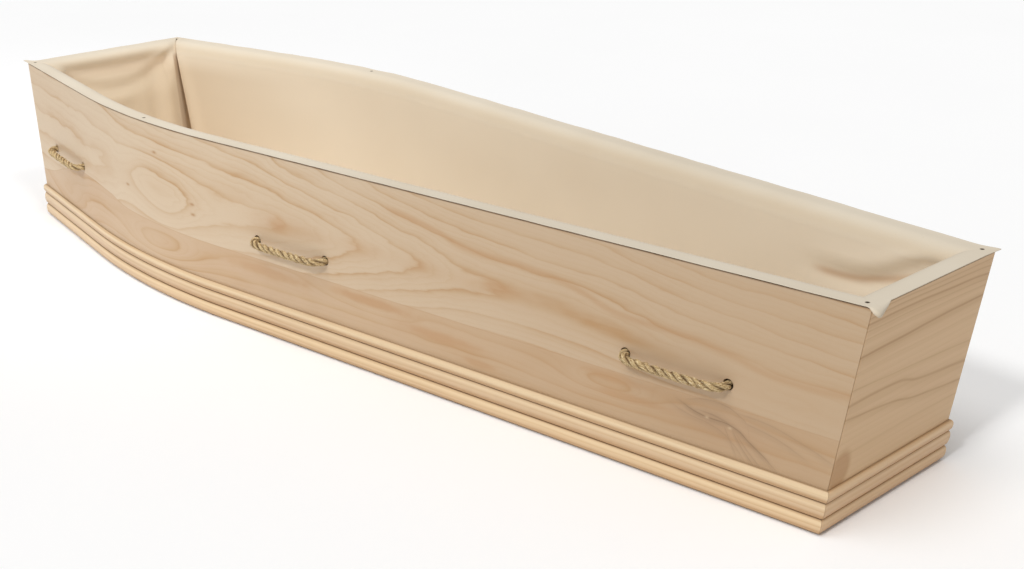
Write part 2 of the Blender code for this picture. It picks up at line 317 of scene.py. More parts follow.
def make_floor():
    bm = bmesh.new()
    bmesh.ops.create_grid(bm, x_segments=1, y_segments=1, size=FLOOR_REACH)
    floor = mesh_object("floor", bm)
    paper = Surface("floor")
    grain = paper.noise(1.0, 3, (1.5, 1.5, 1.5))
    paper.colour = paper.ramp(grain, [(0.0, (0.96, 0.96, 0.96, 1.0)), (1.0, (0.99, 0.99, 0.99, 1.0))])
    floor.data.materials.append(paper.finish(0.9, 0.1))
    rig.stage(floor)


def make_studio():
    """A white room, soft light from above and in front, a spot into the head end, and the floor."""
    scene = bpy.context.scene
    scene.view_settings.view_transform = "Standard"
    scene.view_settings.look = "None"
    world = bpy.data.worlds.new("studio")
    world.use_nodes = True
    sky = world.node_tree.nodes["Background"]
    sky.inputs["Color"].default_value = (1.0, 1.0, 1.0, 1.0)
    sky.inputs["Strength"].default_value = 0.445
    scene.world = world
    far_light("overhead", (0.02, 0.3, -0.95), spread=34, strength=1.02)
    far_light("front", (-0.12, 0.72, -0.68), spread=8, strength=1.15)
    inside_light((1.6, -0.5, 2.4), (-0.9, 0.03, 0.16), spread=24, watts=210.0)
    make_floor()


# Shader values, written as sums in Python

# The mix node's colour sockets
MIX_FIRST, MIX_SECOND, MIXED = 6, 7, 2


def feed(socket, item):
    """Set a shader input to a plain value, or link it to a Value or another node's output."""
    if isinstance(item, Value):
        item = item.socket
    if isinstance(item, bpy.types.NodeSocket):
        socket.id_data.links.new(item, socket)
    else:
        socket.default_value = item


def add_node(tree, kind, inputs, **settings):
    node = tree.nodes.new("ShaderNode" + kind)
    for name, setting in settings.items():
        setattr(node, name, setting)
    for name, item in inputs.items():
        feed(node.inputs[name], item)
    return node


def arithmetic(operation):
    return lambda value, other: value.math(operation, other)


class Value:
    """A number in a shader, with Python's arithmetic adding the Math nodes."""

    __add__ = arithmetic("ADD")
    __sub__ = arithmetic("SUBTRACT")
    __mul__ = arithmetic("MULTIPLY")
    __truediv__ = arithmetic("DIVIDE")

    def __init__(self, socket):
        self.socket = socket
        self.tree = socket.id_data

    def math(self, operation, *others):
        inputs = dict(enumerate((self, *others)))
        return Value(add_node(self.tree, "Math", inputs, operation=operation).outputs[0])

    def __neg__(self):
        return self * -1.0

    def square(self):
        return self.math("MULTIPLY", self)

    def above(self, level, softness):
        """0 below the level, 1 above it, soft between."""
        inputs = {"Value": self, "From Min": level - softness, "From Max": level + softness}
        node = add_node(self.tree, "MapRange", inputs, interpolation_type="SMOOTHSTEP")
        return Value(node.outputs["Result"])

    def curve(self, points):
        """A smooth drawn curve through (from, to) points."""
        low_x, high_x = points[0][0], points[-1][0]
        heights = [y for x, y in points]
        low_y, high_y = min(heights), max(heights)
        share = (self - low_x) / (high_x - low_x)
        node = add_node(self.tree, "FloatCurve", {"Value": share})
        spots = [((x - low_x) / (high_x - low_x), (y - low_y) / (high_y - low_y)) for x, y in points]
        drawn = node.mapping.curves[0].points
        drawn[0].location, drawn[1].location = spots[:2]
        for spot in spots[2:]:
            drawn.new(*spot)
        node.mapping.update()
        return Value(node.outputs["Value"]) * (high_y - low_y) + low_y


class Surface:
    """A material while it is painted, one colour over another."""

    def __init__(self, name):
        self.material = bpy.data.materials.new(name)
        self.material.use_nodes = True
        self.tree = self.material.node_tree
        self.colour = None

    def places(self, stretch=(1.0, 1.0, 1.0), shift=(0.0, 0.0, 0.0), source=None):
        """Places in the frame, in metres, or another source, stretched and moved for a texture."""
        source = source or add_node(self.tree, "TexCoord", {}).outputs["Object"]
        inputs = {"Vector": source, "Scale": stretch, "Location": shift}
        return add_node(self.tree, "Mapping", inputs).outputs["Vector"]

    def axes(self):
        """The X, Y and Z of each place."""
        parts = add_node(self.tree, "SeparateXYZ", {0: self.places()})
        return [Value(output) for output in parts.outputs]

    def noise(self, scale, detail, *stretch_shift_source, roughness=0.5):
        """Smooth noise from 0 to 1 over the places."""
        inputs = {"Vector": self.places(*stretch_shift_source), "Scale": scale,
                  "Detail": detail, "Roughness": roughness}
        return Value(add_node(self.tree, "TexNoise", inputs).outputs["Fac"])

    def ramp(self, value, stops):
        """A colour for each value, between (place, colour) stops."""
        node = add_node(self.tree, "ValToRGB", {"Fac": value})
        elements = node.color_ramp.elements
        for index, (place, colour) in enumerate(stops):
            element = elements[index] if index < 2 else elements.new(place)
            element.position = place
            element.color = colour
        return node.outputs["Color"]

    def mix(self, share, first, second):
        """Two colours mixed, with more of the second as the share grows."""
        inputs = {"Factor": share, MIX_FIRST: first, MIX_SECOND: second}
        return add_node(self.tree, "Mix", inputs, data_type="RGBA").outputs[MIXED]

    def paint(self, share, colour):
        """Lay a share of a colour over what is painted so far."""
        self.colour = self.mix(share, self.colour, colour)

    def finish(self, roughness, specular, relief=None, sheen=0.0):
        """Hand over the material, with a relief of (height, strength, distance)."""
        inputs = {"Base Color": self.colour, "Roughness": roughness,
                  "Specular IOR Level": specular, "Sheen Weight": sheen}
        if relief:
            bumps = add_node(self.tree, "Bump", dict(zip(("Height", "Strength", "Distance"), relief)))
            inputs["Normal"] = bumps.outputs["Normal"]
        shader = self.tree.nodes["Principled BSDF"]
        for name, item in inputs.items():
            feed(shader.inputs[name], item)
        return self.material


def shares(steps):
    """Even steps from 0 to 1."""
    return [step / steps for step in range(steps + 1)]


def srgb(*levels):
    """A colour given as it looks on screen, 11 to 255, as the shader's linear values."""
    return (*(((level / 255 + 0.055) / 1.055) ** 2.4 for level in levels), 1.0)


# Pine

PALE = srgb(212, 194, 169)
WARM = srgb(206, 183, 154)
ROSE = srgb(197, 168, 138)
LATEWOOD = srgb(183, 144, 99)
# The dark latewood colour, also used for painted shade on the moulding's beads
DARK_LATEWOOD_AND_SHADE = srgb(168, 122, 74)
KNOT_GREY = srgb(100, 80, 62)
KNOT_CLOUD = srgb(178, 144, 118)
SHADE = srgb(92, 62, 36)
HIGHLIGHT = srgb(240, 218, 180)
RESIN = srgb(236, 214, 180)
BLOT = srgb(186, 142, 98)

# The way the grain runs: 0 for the axis along it
LENGTHWAYS = (0, 1, 1)
CROSSWAYS = (1, 0, 1)

# The height of the arched rings' centre line at the middle of the board
ARCH_LINE = 0.199
# How far the far side's figure is moved along after it is mirrored
MIRROR_SHIFT = 0.12


def hump(along, up, centre, size):
    """A rounded hill, 1 at its centre."""
    across = (along - centre[0]) / size[0]
    over = (up - centre[1]) / size[1]
    fall = (across.square() + over.square()) * -1.0
    return fall.math("EXPONENT")


def near(value, level, width):
    """1 where a value is at the level, falling away softly either side."""
    return hump(value, value, (level, level), (width * 1.414, width * 1.414))


def stroke(along, up, points, width, halo=0.0):
    """A soft line drawn along the board through (along, height) points, fading at its ends."""
    first, last = points[0][0], points[-1][0]
    fade = min(0.02, (last - first) / 4)
    window = along.above(first, fade) * (-along).above(-last, fade)
    away = up - along.curve(points)
    line = near(away, 0.0, width)
    if halo:
        line = line.math("MAXIMUM", near(away, -width, width * 3.5) * halo)
    return line * window


def strokes(along, up, lines, halo):
    """Many (points, width, strength) strokes, in millimetres, the strongest showing at each place."""
    total = None
    for points, width, strength in lines:
        line = stroke(along, up, [(x / 1000, y / 1000) for x, y in points], width / 1000, halo) * strength
        total = line if total is None else total.math("MAXIMUM", line)
    return total


def latewood(rings, sharpness):
    """The dark part of each ring: a sudden edge at each whole number, fading after it."""
    share = rings.math("FRACT")
    fade = (share * -sharpness).math("EXPONENT")
    lead = ((share - 1.0) * (sharpness * 5.0)).math("EXPONENT")
    return (fade + lead).math("MINIMUM", 1.0)


class Wood(Surface):
    """Pine with its grain one way; the shift makes each board's figure its own."""

    def __init__(self, name, grain, shift):
        super().__init__(name)
        self.grain = grain
        self.shift = shift
        # Fine streaks along the grain
        self.streaks = self.noise(900.0, 4, self.stretch(0.012), (shift, shift, shift), roughness=0.7)

    def stretch(self, share):
        return tuple(1.0 if axis else share for axis in self.grain)

    def wavering(self, shift, scale, reach):
        """A slow wander of the rings, plus or minus, longer along the grain than across it."""
        shift += self.shift
        return (self.noise(scale, 2, self.stretch(0.22), (shift, shift * 2, shift * 3)) - 0.5) * reach

    def paint_streaks(self):
        self.paint(((self.streaks - 0.5) * 0.5).math("MAXIMUM", 0.0), LATEWOOD)

    def paint_cloth_shadow(self, up):
        """The shadow under the cloth's edge."""
        self.paint(up.above(BODY_HEIGHT - 0.0013, 0.0006) * 0.6, SHADE)

    def satin(self, lines, roughness=0.5):
        """Finish with a fine streaked relief and a soft satin."""
        relief = self.streaks * 0.6 - lines * 0.4
        return self.finish((self.streaks - 0.5) * 0.16 + roughness, 0.35, (relief, 0.25, 0.0004))


def arched_rings(along, up):
    """The upper board's rings: arches that point to the foot end, about a slowly falling centre line."""
    centre = along.curve([
        (-1.0, 0.204), (-0.4, 0.196), (0.0, ARCH_LINE), (0.45, ARCH_LINE), (0.7, 0.176), (1.0, 0.158)])
    arch = along.curve([
        (-1.0, -1.25), (-0.8, -1.16), (-0.544, -1.0), (-0.5, -0.7), (-0.4, -0.5), (-0.2, -0.24),
        (-0.04, 0.0), (0.12, 1.0), (0.24, 2.0), (0.42, 3.0), (0.6, 3.08), (0.78, 3.3), (1.0, 3.4)])
    closeness = along.curve([(-1.0, 1.0), (-0.4, 0.95), (-0.1, 1.2), (0.1, 1.75), (1.0, 1.75)])
    rise = (up - centre) / 0.036
    spread = ((rise.square() + 1.0).math("SQRT") - 1.0) * closeness
    island = hump(along, up, (-0.345, 0.184), (0.085, 0.058))
    island = island + hump(along, up, (-0.415, 0.214), (0.06, 0.028)) * 0.35
    return arch + spread - island * 1.2


def flame_rings(along, up, wander):
    """The lower board's rings: long flames with an eye below the island and another at the head."""
    rings = up * 34.0 + wander
    for centre, size, lift in (
            ((-0.375, 0.092), (0.13, 0.03), 2.2), ((-0.8, 0.07), (0.15, 0.04), 1.7),
            ((0.15, 0.11), (0.09, 0.016), 1.2), ((0.6, 0.11), (0.07, 0.016), 1.4)):
        rings = rings + hump(along, up, centre, size) * lift
    return rings


def twisted_grain(along, up):
    """The grey lines that sweep out of the knot below the foot handle."""
    return strokes(along, up, [
        ([(740, 116), (770, 113), (800, 101), (832, 76)], 1.75, 0.6),
        ([(790, 104), (812, 80), (830, 64)], 1.5, 0.4),
        ([(715, 118), (745, 110), (785, 108), (815, 92), (845, 72)], 1.375, 0.95),
        ([(785, 108), (800, 86), (822, 62)], 1.25, 0.55),
        ([(775, 108), (784, 90), (795, 70)], 1.25, 0.45),
        ([(725, 127), (765, 134), (800, 124), (812, 108)], 1.5, 0.45),
        ([(795, 128), (840, 125), (880, 116), (930, 100)], 1.5, 0.35),
        ([(800, 118), (840, 112), (890, 96)], 1.5, 0.35),
        ([(735, 103), (765, 98), (790, 84), (806, 66)], 1.5, 0.35),
        ([(700, 112), (730, 104), (760, 102)], 1.5, 0.35),
    ], 0.5)


def upper_board(wood, along, up, wobble, ripple, patchy, cloud):
    """The pale board's ring lines and its colour."""
    rings = arched_rings(along + ripple * 0.15, up + wobble * 0.02) + wobble + ripple
    lines = latewood(rings, 4.4)
    fine = latewood(rings * 3.0 + ripple * 2.0, 3.0) * 0.26
    colour = wood.mix((lines * 0.85 + fine) * patchy, wood.mix(cloud, PALE, WARM), LATEWOOD)
    # The rings widen where they cross the centre line
    nose = near(up + wobble * 0.004, ARCH_LINE, 0.011) * (-along).above(-0.46, 0.06)
    nose = nose * along.above(-0.12, 0.04)
    return lines, wood.mix(latewood(rings, 2.2) * nose * 0.45, colour, BLOT)


def lower_board(wood, along, up, wander, patchy, cloud):
    """The rosy board's colour."""
    rings = flame_rings(along, up, wander)
    lines = latewood(rings, 2.6) * 0.85 + latewood(rings * 3.0, 3.0) * 0.25
    return wood.mix(lines * patchy, wood.mix(cloud, ROSE, WARM), LATEWOOD)


def paint_blots(wood, along, up):
    """Orange blots at the arches' tips and along the joint, with torn edges."""
    torn = (wood.noise(60.0, 3, (0.35, 1.0, 1.0), (wood.shift + 7, 0, 0)) - 0.5) * 0.9
    for place, size, share in (
            ((-0.048, 0.199), (0.02, 0.014), 0.4), ((0.405, 0.203), (0.026, 0.008), 0.3),
            ((0.15, 0.118), (0.085, 0.009), 0.55), ((0.29, 0.098), (0.07, 0.009), 0.5),
            ((0.6, 0.122), (0.06, 0.007), 0.45), ((0.64, 0.1), (0.06, 0.007), 0.5),
            ((-0.09, 0.112), (0.09, 0.01), 0.4), ((0.37, 0.076), (0.03, 0.006), 0.45)):
        blot = (hump(along, up, place, size) + torn).above(0.45, 0.42)
        near_it = hump(along, up, place, (size[0] * 2, size[1] * 2)).above(0.25, 0.2)
        wood.paint(blot * near_it * share * 1.2, BLOT)


def paint_dots(wood, along, up, places, size, share, colour):
    for place in places:
        wood.paint(hump(along, up, place, size) * share, colour)


def side_pine(name, shift, mirrored):
    """A long side glued up from two boards: a pale upper one with arched rings, a rosy lower one."""
    wood = Wood(name, LENGTHWAYS, shift)
    along, out, up = wood.axes()
    if mirrored:
        along = -along + MIRROR_SHIFT
    wobble = wood.wavering(5.0, 30.0, 0.42)
    ripple = wood.wavering(9.0, 85.0, 0.16)
    wander = wood.wavering(11.0, 7.0, 2.4) + wobble * 1.5
    # How strongly each stretch of ring shows
    patchy = wood.noise(9.0, 2, (0.45, 1.0, 1.6), (shift + 3, 0, 0))
    patchy = ((patchy - 0.25) * 2.2).math("MAXIMUM", 0.38).math("MINIMUM", 1.0)
    cloud = wood.noise(4.0, 3, (0.5, 1.0, 2.2), (shift, 0, 0))
    lines, upper = upper_board(wood, along, up, wobble, ripple, patchy, cloud)
    lower = lower_board(wood, along, up, wander, patchy, cloud)
    joint = along.curve([
        (-1.0, 0.092), (-0.914, 0.102), (-0.8, 0.131), (-0.687, 0.151), (-0.563, 0.146), (-0.458, 0.132),
        (0.0, 0.13), (1.0, 0.134)])
    above_joint = (up - joint).above(0.0, 0.0006)
    wood.colour = wood.mix(above_joint, lower, upper)
    paint_blots(wood, along, up)
    long_line = stroke(along, up + wobble * 0.004, [
        (0.2, 0.275), (0.29, 0.262), (0.36, 0.245), (0.45, 0.244), (0.54, 0.234), (0.62, 0.214),
        (0.7, 0.212), (0.78, 0.203), (0.87, 0.19), (0.97, 0.197)], 0.0056)
    wood.paint(long_line * 0.5, BLOT)
    wood.paint(near(up - joint, 0.0, 0.0008) * 0.28, DARK_LATEWOOD_AND_SHADE)
    wood.paint_streaks()
    pin_knots = ((-0.362, 0.261), (-0.471, 0.181), (-0.262, 0.19), (-0.262, 0.172))
    paint_dots(wood, along, up, pin_knots, (0.006, 0.0025), 0.8, DARK_LATEWOOD_AND_SHADE)
    # The knot's rosy cloud, its grey lines and its two drops of resin
    paint_dots(wood, along, up, [(0.78, 0.104)], (0.075, 0.026), 0.45, KNOT_CLOUD)
    wood.paint(twisted_grain(along, up + ripple * 0.016), KNOT_GREY)
    paint_dots(wood, along, up, [(0.751, 0.109), (0.785, 0.104)], (0.003, 0.0018), 0.6, RESIN)
    # Painted shade: the board darkens towards the foot
    wood.paint(along.above(0.3, 0.8) * 0.6, srgb(168, 137, 103))
    wood.paint_cloth_shadow(up)
    return wood.satin(lines * above_joint)


def end_pine(name, shift):
    """An end board: rings that run level across it, crowded at the top and far apart below."""
    wood = Wood(name, CROSSWAYS, shift)
    out, along, up = wood.axes()
    height = up + wood.wavering(5.0, 34.0, 1.0) * 0.006
    lines = strokes(along, height, [
        ([(-170, 306), (170, 300)], 1.4, 0.55),
        ([(-170, 298), (0, 296), (170, 288)], 1.6, 0.6),
        ([(-170, 290), (0, 287), (170, 276)], 2.2, 0.8),
        ([(-170, 280), (0, 278), (170, 268)], 1.6, 0.45),
        ([(-170, 269), (0, 268), (170, 262)], 1.4, 0.35),
        ([(-170, 246), (-50, 247), (60, 250), (170, 245)], 2.6, 0.9),
        ([(-170, 225), (0, 226), (170, 222)], 1.4, 0.2),
        ([(-170, 203), (-10, 194), (170, 182)], 1.8, 0.4),
        ([(-170, 180), (-40, 179), (20, 167), (170, 152)], 3, 0.65),
        ([(-170, 165), (-40, 152), (30, 139), (170, 124)], 2.2, 0.65),
        ([(-170, 100), (0, 108), (170, 96)], 2, 0.2),
    ], 0.4)
    fine = latewood(height * 95.0, 3.0) * 0.1
    slow = wood.noise(5.0, 2, (1.0, 0.5, 2.2), (0, shift, 0))
    wood.colour = wood.mix(slow, srgb(206, 171, 129), srgb(209, 177, 138))
    wood.paint(lines * 0.85 + fine, srgb(164, 124, 78))
    wood.paint(hump(along, up, (-0.122, 0.086), (0.022, 0.03)).above(0.42, 0.2) * 0.6, DARK_LATEWOOD_AND_SHADE)
    wood.paint_cloth_shadow(up)
    wood.paint_streaks()
    return wood.satin(lines)


def moulding_pine(name, grain, shift):
    """The moulding: straight grain along it, the lowest bead yellower and the middle one rosier."""
    wood = Wood(name, grain, shift)
    up = wood.axes()[2]
    lines = latewood(up * 130.0 + wood.wavering(0.0, 10.0, 3.0), 2.5)
    low, middle, top = srgb(218, 190, 152), srgb(209, 181, 146), srgb(215, 190, 155)
    tone = wood.ramp((up - PLINTH_BOTTOM) / (PLINTH_TOP - PLINTH_BOTTOM), [
        (0.0, low), (0.33, low), (0.37, middle), (0.7, srgb(210, 183, 149)), (0.75, top), (1.0, top)])
    strength = wood.noise(6.0, 1, (0.6, 0.6, 1.0), (shift, shift, 0))
    wood.colour = wood.mix(lines * strength * 0.7, tone, LATEWOOD)
    # Painted shade in the grooves, under the bottom bead and in the crevice at the board, painted shade on the lower
    # part of each bead, and a painted highlight on the upper part of each bead
    for groove, width, share in (
            (LOW_GROOVE, 0.0011, 0.85), (TOP_GROOVE, 0.0011, 0.85),
            (PLINTH_TOP, 0.0005, 0.6), (PLINTH_BOTTOM, 0.002, 0.8)):
        wood.paint(near(up, groove, width) * share, SHADE)
        wood.paint(near(up, groove + 0.0035, 0.0036) * share * 0.68, DARK_LATEWOOD_AND_SHADE)
    for crest in (LOW_GROOVE, TOP_GROOVE, PLINTH_TOP):
        wood.paint(near(up, crest - 0.005, 0.0028) * 0.32, HIGHLIGHT)
    if grain == CROSSWAYS:
        # The two end mouldings are a warmer pine
        wood.paint(0.43, srgb(212, 168, 120))
    return wood.satin(lines, 0.38)


def base_pine(name):
    wood = Wood(name, LENGTHWAYS, 21.0)
    across = wood.axes()[1]
    lines = latewood(across * 42.0 + wood.wavering(0.0, 5.0, 4.0), 3.5)
    wood.colour = wood.mix(lines * 0.6, WARM, LATEWOOD)
    return wood.satin(lines, 0.62)


# Cloth and rope finishes

# The plan line that the pleat's shadow stays outside, so that it doesn't reach the head wall
PLEAT_SIDE = HEAD_WIDTH / 2 - BOARD - ROLL_OUT + 0.0025


def paint_cloth_light_and_shade(cloth, along, up):
    """Painted light and shade: painted bounce light makes the cloth paler below the roll, painted shade darkens the
    roll, and painted shade makes it dimmer and warmer towards the head.
    """
    # Painted bounce light: paler and warmer below the roll
    cloth.paint((-up).above(0.016 - BODY_HEIGHT, 0.015) * 0.8, srgb(232, 217, 194))
    # Painted shade on the roll
    cloth.paint(near(up, BODY_HEIGHT - 0.01, 0.01) * 0.38, srgb(190, 166, 132))
    # Painted shade, warm, under the roll at the head wall
    head_roll_shade = (-along).above(0.925, 0.015) * near(up, BODY_HEIGHT - 0.045, 0.03)
    cloth.paint(head_roll_shade * 0.4, srgb(200, 158, 112))
    # Painted shade over the head end below the roll
    head_end_shade = (-along).above(0.7, 0.22) * (-up).above(0.042 - BODY_HEIGHT, 0.018)
    cloth.paint(head_end_shade * 0.8, srgb(210, 191, 164))


def paint_cloth_shadows(cloth, along, across, up):
    """The shadows in the crease near the foot and in the pleat at the far head corner."""
    crease = stroke(along, up, [
        (0.72, 0.232), (0.78, 0.234), (0.82, 0.243), (0.87, 0.258), (0.92, 0.276)], 0.006)
    cloth.paint(crease * across.above(0.03, 0.01) * 0.5, srgb(178, 132, 84))
    drop = -up + BODY_HEIGHT
    pleat = along - (HEAD_X + BOARD + ROLL_OUT) - drop * (HEAD_SET_IN / BODY_HEIGHT + 0.075)
    gap = near(pleat / (drop * 0.055 + 0.002), 0.0, 1.0)
    gap = gap * across.above(PLEAT_SIDE, 0.002) * drop.above(0.02, 0.008)
    cloth.paint(gap * 0.6, srgb(150, 112, 72))


def calico(name):
    """Unbleached plain-weave cotton with a few dark flecks, and painted shade in a ring round each screw hole."""
    cloth = Surface(name)
    along, across, up = cloth.axes()
    slow = cloth.noise(6.0, 3)
    cloth.colour = cloth.ramp(slow, [(0.25, srgb(213, 201, 181)), (0.75, srgb(220, 210, 192))])
    cloth.paint(cloth.noise(420.0, 2, (1.0, 1.0, 0.5)).above(0.74, 0.03) * 0.35, srgb(196, 172, 132))
    paint_cloth_light_and_shade(cloth, along, up)
    paint_cloth_shadows(cloth, along, across, up)
    # Painted shade round each screw hole
    for hole in screw_places(RIGHT) + screw_places(LEFT):
        ring = hump(along, across, (hole.x, hole.y), (0.0032, 0.0032))
        cloth.paint(ring.above(0.42, 0.18) * 0.85, srgb(70, 52, 36))
    weave = cloth.noise(1100.0, 2) + slow * 0.5
    return cloth.finish(0.92, 0.15, (weave, 0.2, 0.0005), sheen=0.12)


def sisal(name):
    """Straw-coloured fibres laid along each strand, with painted shade in the valleys between strands."""
    rope = Surface(name)
    strand = add_node(rope.tree, "UVMap", {}, uv_map="strand").outputs["UV"]
    fibre = rope.noise(1.0, 3, (22.0, 14.0, 1.0), (0.0, 0.0, 0.0), strand, roughness=0.7)
    valley_shade = add_node(rope.tree, "Attribute", {}, attribute_name="depth")
    rope.colour = rope.ramp(fibre, [
        (0.28, srgb(122, 94, 58)), (0.42, srgb(182, 153, 106)),
        (0.56, srgb(218, 195, 150)), (0.72, srgb(250, 238, 208))])
    rope.paint(rope.noise(520.0, 3).above(0.58, 0.06) * 0.75, srgb(132, 98, 56))
    # Painted shade, deepest in the valleys between strands
    rope.paint(valley_shade.outputs["Fac"], srgb(98, 70, 40))
    return rope.finish(0.75, 0.3, (fibre, 1.0, 0.0012))


# The plan of the walls

def lean(height):
    """How far down the wall a height lies: 0 at the top and 1 at the bottom."""
    return 1.0 - height / BODY_HEIGHT


def outward(direction):
    """The plan direction square to a run along the right side, away from the coffin."""
    return Vector((direction.y, -direction.x))


def crossing(normal_a, reach_a, normal_b, reach_b):
    """The plan point that lies at given distances along two directions."""
    across = normal_a.x * normal_b.y - normal_a.y * normal_b.x
    x = (reach_a * normal_b.y - reach_b * normal_a.y) / across
    y = (normal_a.x * reach_b - normal_b.x * reach_a) / across
    return Vector((x, y))


HEAD_NORMAL = outward(Vector((SHOULDER_FROM_HEAD, -(SHOULDER_WIDTH - HEAD_WIDTH) / 2)).normalized())
FOOT_NORMAL = outward(
    Vector((TOP_LENGTH - SHOULDER_FROM_HEAD, (SHOULDER_WIDTH - FOOT_WIDTH) / 2)).normalized())
END_NORMAL = Vector((1.0, 0.0))


def right_outline(height, out=0.0, steps=48):
    """The right side in plan at a height, from the head corner to the foot corner."""
    shoulder = Vector((SHOULDER_X, -SHOULDER_WIDTH / 2 + SIDE_SET_IN * lean(height)))
    head_reach = shoulder.dot(HEAD_NORMAL) + out
    foot_reach = shoulder.dot(FOOT_NORMAL) + out
    head_line = HEAD_X + HEAD_SET_IN * lean(height) - out
    foot_line = FOOT_X - FOOT_SET_IN * lean(height) + out
    points = [crossing(HEAD_NORMAL, head_reach, END_NORMAL, head_line)]
    radius = BEND_RADIUS + out
    start = math.atan2(HEAD_NORMAL.y, HEAD_NORMAL.x)
    turn = HEAD_NORMAL.angle_signed(FOOT_NORMAL)
    middle = (HEAD_NORMAL + FOOT_NORMAL).normalized()
    corner = crossing(HEAD_NORMAL, head_reach, FOOT_NORMAL, foot_reach)
    centre = corner - middle * radius / math.cos(turn / 2)
    for share in shares(steps):
        angle = start - turn * share
        points.append(centre + radius * Vector((math.cos(angle), math.sin(angle))))
    points.append(crossing(FOOT_NORMAL, foot_reach, END_NORMAL, foot_line))
    return points


def on_side(x, height, side):
    """A point on a side wall's outer face, with the wall's run and outward directions there."""
    points = right_outline(height)
    index = 1
    while index < len(points) - 1 and points[index].x < x:
        index += 1
    run = (points[index] - points[index - 1]).normalized()
    y = points[index - 1].y + run.y / run.x * (x - points[index - 1].x)
    out = outward(run)
    return (Vector((x, -side * y, height)), Vector((run.x, -side * run.y, 0.0)),
            Vector((out.x, -side * out.y, 0.0)))


def running_lengths(points):
    """How far along a line of points each of them lies."""
    lengths = [0.0]
    for here, there in zip(points, points[1:]):
        lengths.append(lengths[-1] + (there - here).length)
    return lengths


def point_along(points, lengths, wanted):
    """The point at a distance along a line of points."""
    index = 0
    while index < len(points) - 2 and lengths[index + 1] < wanted:
        index += 1
    share = (wanted - lengths[index]) / (lengths[index + 1] - lengths[index])
    return points[index].lerp(points[index + 1], share)


def loft(sections):
    """A closed solid through a row of sections."""
    bm = bmesh.new()
    loops = [[bm.verts.new(point) for point in section] for section in sections]
    for here, there in zip(loops, loops[1:]):
        for index in range(len(here)):
            after = (index + 1) % len(here)
            bm.faces.new((here[index], here[after], there[after], there[index]))
    bm.faces.new(list(reversed(loops[0])))
    bm.faces.new(loops[-1])
    bmesh.ops.recalc_face_normals(bm, faces=bm.faces)
    return bm


def along_side(section, side):
    """Draw a section of (out, height) points along a side wall, mitred at both corners."""
    rows = [right_outline(height, out) for out, height in section]
    last = len(rows[0]) - 1
    stations = []
    for station in range(last + 1):
        shift = {0: MITRE_GAP, last: -MITRE_GAP}.get(station, 0.0)
        stations.append([
            (row[station].x + shift, -side * row[station].y, height)
            for row, (out, height) in zip(rows, section)])
    return loft(stations)


def across_end(section, station):
    """Draw a section of (out, height) points across an end wall, mitred at both corners."""
    corners = [right_outline(height, out)[station] for out, height in section]
    return loft([[
        (corner.x, -side * (corner.y + MITRE_GAP), height)
        for corner, (out, height) in zip(corners, section)] for side in (RIGHT, LEFT)])


def add_piece(name, bm, material, slot, smooth=35.0):
    piece = mesh_object(name, bm)
    piece.data.shade_smooth()
    piece.data.set_sharp_from_angle(angle=math.radians(smooth))
    piece.data.materials.append(material)
    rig.ride(piece, "root")
    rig.slot(piece, slot)
    return piece


def apply_modifiers(piece):
    """Make a piece's modifiers part of its mesh."""
    graph = bpy.context.evaluated_depsgraph_get()
    made = bpy.data.meshes.new_from_object(piece.evaluated_get(graph))
    piece.modifiers.clear()
    piece.data = made


# Boards and mouldings

def drill(piece, places, axis, diameter, depth):
    """Bore a round hole in a piece at each place, along an axis."""
    for place in places:
        bm = bmesh.new()
        bmesh.ops.create_cone(
            bm, cap_ends=True, segments=32, radius1=diameter / 2, radius2=diameter / 2, depth=depth)
        turn = UP.rotation_difference(axis).to_matrix().to_4x4()
        bmesh.ops.transform(bm, matrix=Matrix.Translation(place) @ turn, verts=bm.verts)
        cutter = mesh_object("drill", bm)
        boolean = piece.modifiers.new("drill", "BOOLEAN")
        boolean.solver = "EXACT"
        boolean.object = cutter
        apply_modifiers(piece)
        bpy.data.objects.remove(cutter)


def screw_places(side):
    """One side's three screw holes, from the head to the foot."""
    inner = right_outline(BODY_HEIGHT, -SCREW_FROM_SIDE)
    edge, run, out = on_side(SHOULDER_X + SCREW_PAST_SHOULDER, BODY_HEIGHT, side)
    further_in = SCREW_FROM_END - SCREW_FROM_SIDE
    head = Vector((inner[0].x + further_in, -side * inner[0].y, BODY_HEIGHT))
    foot = Vector((inner[-1].x - further_in, -side * inner[-1].y, BODY_HEIGHT))
    return [head, edge - out * SCREW_FROM_SIDE, foot]


def soften_edges(piece):
    bevel = piece.modifiers.new("worn edges", "BEVEL")
    bevel.width = WORN_EDGE
    bevel.segments = 2
    bevel.limit_method = "ANGLE"
    bevel.angle_limit = math.radians(50)
    apply_modifiers(piece)


